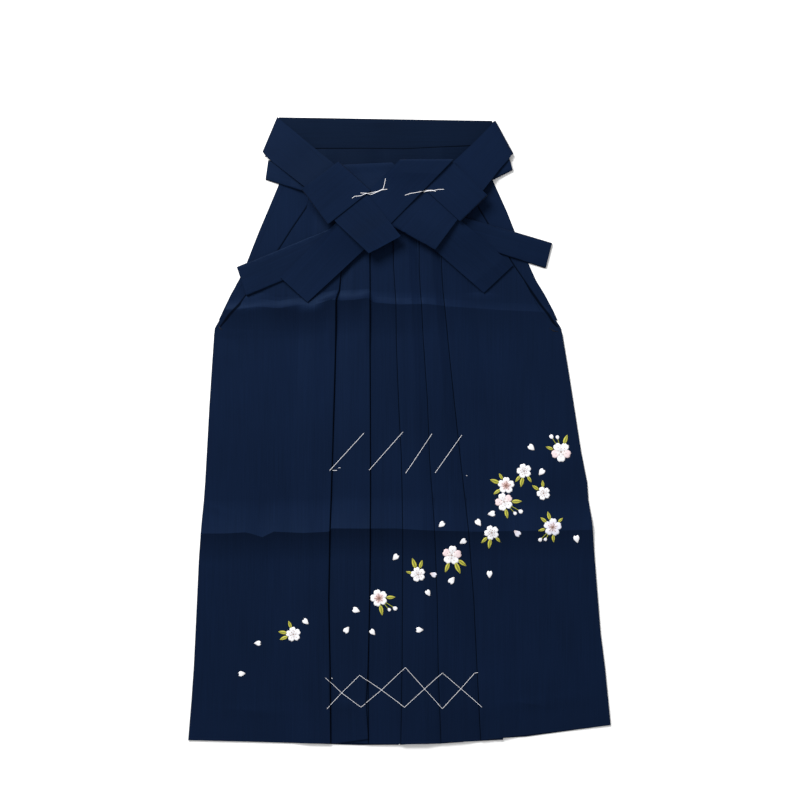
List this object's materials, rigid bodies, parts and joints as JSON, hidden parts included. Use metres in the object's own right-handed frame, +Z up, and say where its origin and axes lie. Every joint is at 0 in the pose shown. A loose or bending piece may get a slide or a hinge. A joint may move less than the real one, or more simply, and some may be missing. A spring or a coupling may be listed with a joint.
{
  "type": "hakama trousers",
  "caption": "Pleated navy hakama laid flat with the front up, its wide ties folded and woven in a cross over the waist.",
  "frame": {"origin": "on the surface it lies on, under the middle of its outline", "axes": "+Z up from the surface, +Y from the hem to the waist, +X to the right as seen from above"},
  "size_m": [0.6544, 0.9727, 0.0292],
  "materials": {
    "panel_cloth": "fine navy polyester twill with a soft sheen",
    "tie_cloth": "the same navy cloth over stiffening",
    "thread": "white cotton and embroidery thread",
    "leaf_thread": "yellow-green embroidery thread with a sheen"
  },
  "bodies": {
    "root": {"front_panel": "panel_cloth", "back_panel": "panel_cloth", "front_waistband": "tie_cloth", "back_waistband": "tie_cloth", "front_tie_left": "tie_cloth", "front_tie_right": "tie_cloth", "back_tie_left_over": "tie_cloth", "back_tie_left_end": "tie_cloth", "back_tie_left_loop": "tie_cloth", "back_tie_right_over": "tie_cloth", "back_tie_right_end": "tie_cloth", "back_tie_right_loop": "tie_cloth"}
  },
  "joints": []
}
